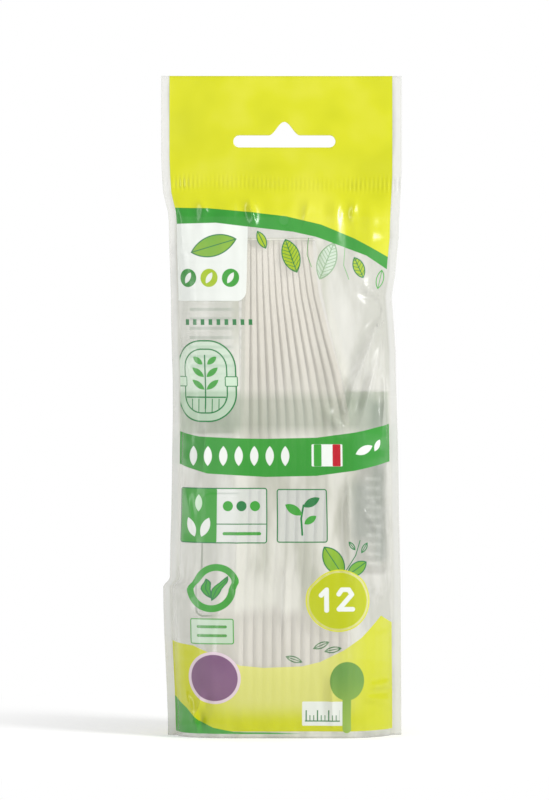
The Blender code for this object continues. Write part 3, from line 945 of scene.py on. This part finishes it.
def backMaterial():
    made, start, shader = startMaterial("printed film back")
    back = Film(start)
    back.cover = back.cover.most(haze["back"])
    green = back.slow.mix(inks["greenDeep"], inks["green"])
    back.lay(142.5 - back.z, green, 0.96)
    back.lay(145.5 - back.z, back.slow.mix(inks["limeDeep"], inks["limePale"]), 0.97)
    back.lay(roundBox(back.p, (0.0, 88.5), (70.0, 11.5), 0.2), green, 0.93, 1.0)
    lines = back.z.repeat(2.6) - 0.42
    back.lay(roundBox(back.p, (23.6, 61.0), (10.4, 34.0), 2.0), inks["grey"], 0.93, 1.6)
    back.lay(lines.most(roundBox(back.p, (25.0, 58.5), (4.6, 26.4), 0.3)), inks["paper"], 0.6, 0.8)
    back.lay(lines.most(roundBox(back.p, (-10.0, 115.0), (34.0, 32.0), 0.3)), inks["greenDark"], 0.6)
    back.lay(roundBox(back.p, (-8.0, 49.0), (30.0, 34.0), 2.0).line(0.25), inks["greenDark"], 0.85)
    back.leaf((-8.0, 49.0), 20.0, 9.0, 60, inks["mint"], inks["green"], True, 0.7)
    back.lay((back.z - 20.0).most(2.2 - back.z), inks["field"], 0.84)
    vent = disc(back.p, (0.0, 141.6), 1.6)
    back.lay(vent, inks["paper"], 0.0)
    back.lay(vent.line(0.2), inks["hazePale"], 0.9)
    back.finish(shader, 0.24)
    return made


def weldMaterial():
    made, start, shader = startMaterial("clear film edge")
    start.fill(shader, {"Base Color": inks["weld"] + (1.0,), "Alpha": haze["weld"], "Roughness": 0.25})
    return made


for makeMaterial in (frontMaterial, backMaterial, weldMaterial):
    film.data.materials.append(makeMaterial())
punchSlot(film)
film.data.shade_smooth()
print("film finished:", len(film.data.polygons), "faces")
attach(film, "root")
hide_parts("film_bag")


# Spoons
spoonLook = {
    "pale": srgb(244, 240, 231),
    "warm": srgb(234, 228, 214),
    "roughness": 0.42,
    "edge": 0.00022,  # width of the bevel
}


def spoonMaterial():
    made, start, shader = startMaterial("spoon plastic")
    place = start.node("ShaderNodeTexCoord", output="Object")
    cloud = place.node("ShaderNodeTexNoise", {}, {"Vector": place, "Scale": 120.0, "Detail": 3.0})
    grain = place.node("ShaderNodeTexNoise", {}, {"Vector": place, "Scale": 2600.0, "Detail": 2.0})
    normal = place.node("ShaderNodeBump", {}, {"Strength": 0.12, "Distance": 0.0003, "Height": grain})
    rough = grain.mix(spoonLook["roughness"] - 0.06, spoonLook["roughness"] + 0.08)
    colour = cloud.mix(spoonLook["warm"], spoonLook["pale"])
    start.fill(shader, {"Base Color": colour, "Roughness": rough, "Normal": normal})
    return made


spoonPlastic = spoonMaterial()
for name in spoonNames:
    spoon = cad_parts[name]
    spoon.data.materials.clear()
    spoon.data.materials.append(spoonPlastic)
    rim = spoon.modifiers.new("moulded edges", "BEVEL")
    rim.width = spoonLook["edge"]
    rim.segments = 2
    rim.angle_limit = math.radians(50)
print("spoons finished")


# Floor, light and camera
stageSizes = {
    "floor": 12.0,
    "floorGrey": 0.9,
    "floorLift": 0.26,  # glow added for the camera alone
    "fadeFrom": 0.05,  # the floor turns plain white between these distances from the bag
    "fadeTo": 0.15,
    "worldLight": 0.6,  # on the object; the camera sees white
    "worldGloss": 0.3,  # in reflections
    "cameraAway": 1.3,
    "cameraUp": 1.0,  # degrees above the horizon
    "lens": 213.0,
    "aimZ": 0.0921,
    "aimX": -0.0019,
}
lamps = {
    "key": {"place": (0.75, -0.55, 0.6), "width": 0.25, "height": 0.35, "watts": 6.8},
    "fill": {"place": (-0.9, -0.5, 0.35), "width": 0.2, "height": 0.8, "watts": 2.0},
}


def floorMaterial():
    made, start, shader = startMaterial("floor white")
    grey = stageSizes["floorGrey"]
    start.fill(shader, {"Base Color": (grey, grey, grey, 1.0), "Roughness": 0.9, "Specular IOR Level": 0.1})
    place = start.node("ShaderNodeTexCoord", output="Object")
    diffuse = Signal(start.tree, shader.outputs[0])
    # near the bag the camera sees the floor lifted to white, with its shadow; further off plain white
    lift = place.node("ShaderNodeEmission", {}, {"Strength": stageSizes["floorLift"]})
    lifted = place.node("ShaderNodeAddShader", {}, {0: diffuse, 1: lift})
    shown = place.node("ShaderNodeLightPath", output="Is Camera Ray")
    near = place.node("ShaderNodeMixShader", {}, {0: shown, 1: diffuse, 2: lifted})
    fade = place.vector("LENGTH").smooth(stageSizes["fadeFrom"], stageSizes["fadeTo"], 0.0, 1.0)
    glow = place.node("ShaderNodeEmission", {}, {"Strength": 1.0})
    blend = place.node("ShaderNodeMixShader", {}, {0: fade, 1: near, 2: glow})
    start.fill(start.tree.nodes["Material Output"], {"Surface": blend})
    return made


def makeFloor():
    bpy.ops.mesh.primitive_plane_add(size=stageSizes["floor"])
    floor = bpy.context.object
    floor.name = "floor"
    floor.data.materials.append(floorMaterial())


def makeLamp(name, sizes):  # aimed at the middle of the bag
    lamp = bpy.data.lights.new(name, "AREA")
    lamp.shape = "RECTANGLE"
    lamp.size = sizes["width"]
    lamp.size_y = sizes["height"]
    lamp.energy = sizes["watts"]
    made = bpy.data.objects.new(name, lamp)
    made.location = sizes["place"]
    way = Vector((0, 0, 0.09)) - Vector(sizes["place"])
    made.rotation_euler = way.to_track_quat("-Z", "Y").to_euler()
    scene.collection.objects.link(made)


def makeWorld():
    world = bpy.data.worlds.new("studio")
    world.use_nodes = True
    start = Signal(world.node_tree)
    shown = start.node("ShaderNodeLightPath", output="Is Camera Ray")
    glossy = start.node("ShaderNodeLightPath", output="Is Glossy Ray")
    strength = shown.mix(glossy.mix(stageSizes["worldLight"], stageSizes["worldGloss"]), 1.0)
    start.fill(world.node_tree.nodes["Background"], {"Color": (1.0, 1.0, 1.0, 1.0), "Strength": strength})
    scene.world = world


def makeCamera():
    lens = bpy.data.cameras.new("camera")
    lens.lens = stageSizes["lens"]
    lens.sensor_fit = "VERTICAL"
    lens.sensor_height = 36.0
    lens.clip_start = 0.01
    made = bpy.data.objects.new("camera", lens)
    up = math.radians(stageSizes["cameraUp"])
    aim = Vector((stageSizes["aimX"], 0.0, stageSizes["aimZ"]))
    made.location = aim + Vector((0, -math.cos(up), math.sin(up))) * stageSizes["cameraAway"]
    made.rotation_euler = (aim - made.location).to_track_quat("-Z", "Y").to_euler()
    scene.collection.objects.link(made)
    scene.camera = made


makeFloor()
makeWorld()
for name, sizes in lamps.items():
    makeLamp(name, sizes)
makeCamera()
scene.view_settings.view_transform = "Standard"
print("stage ready")
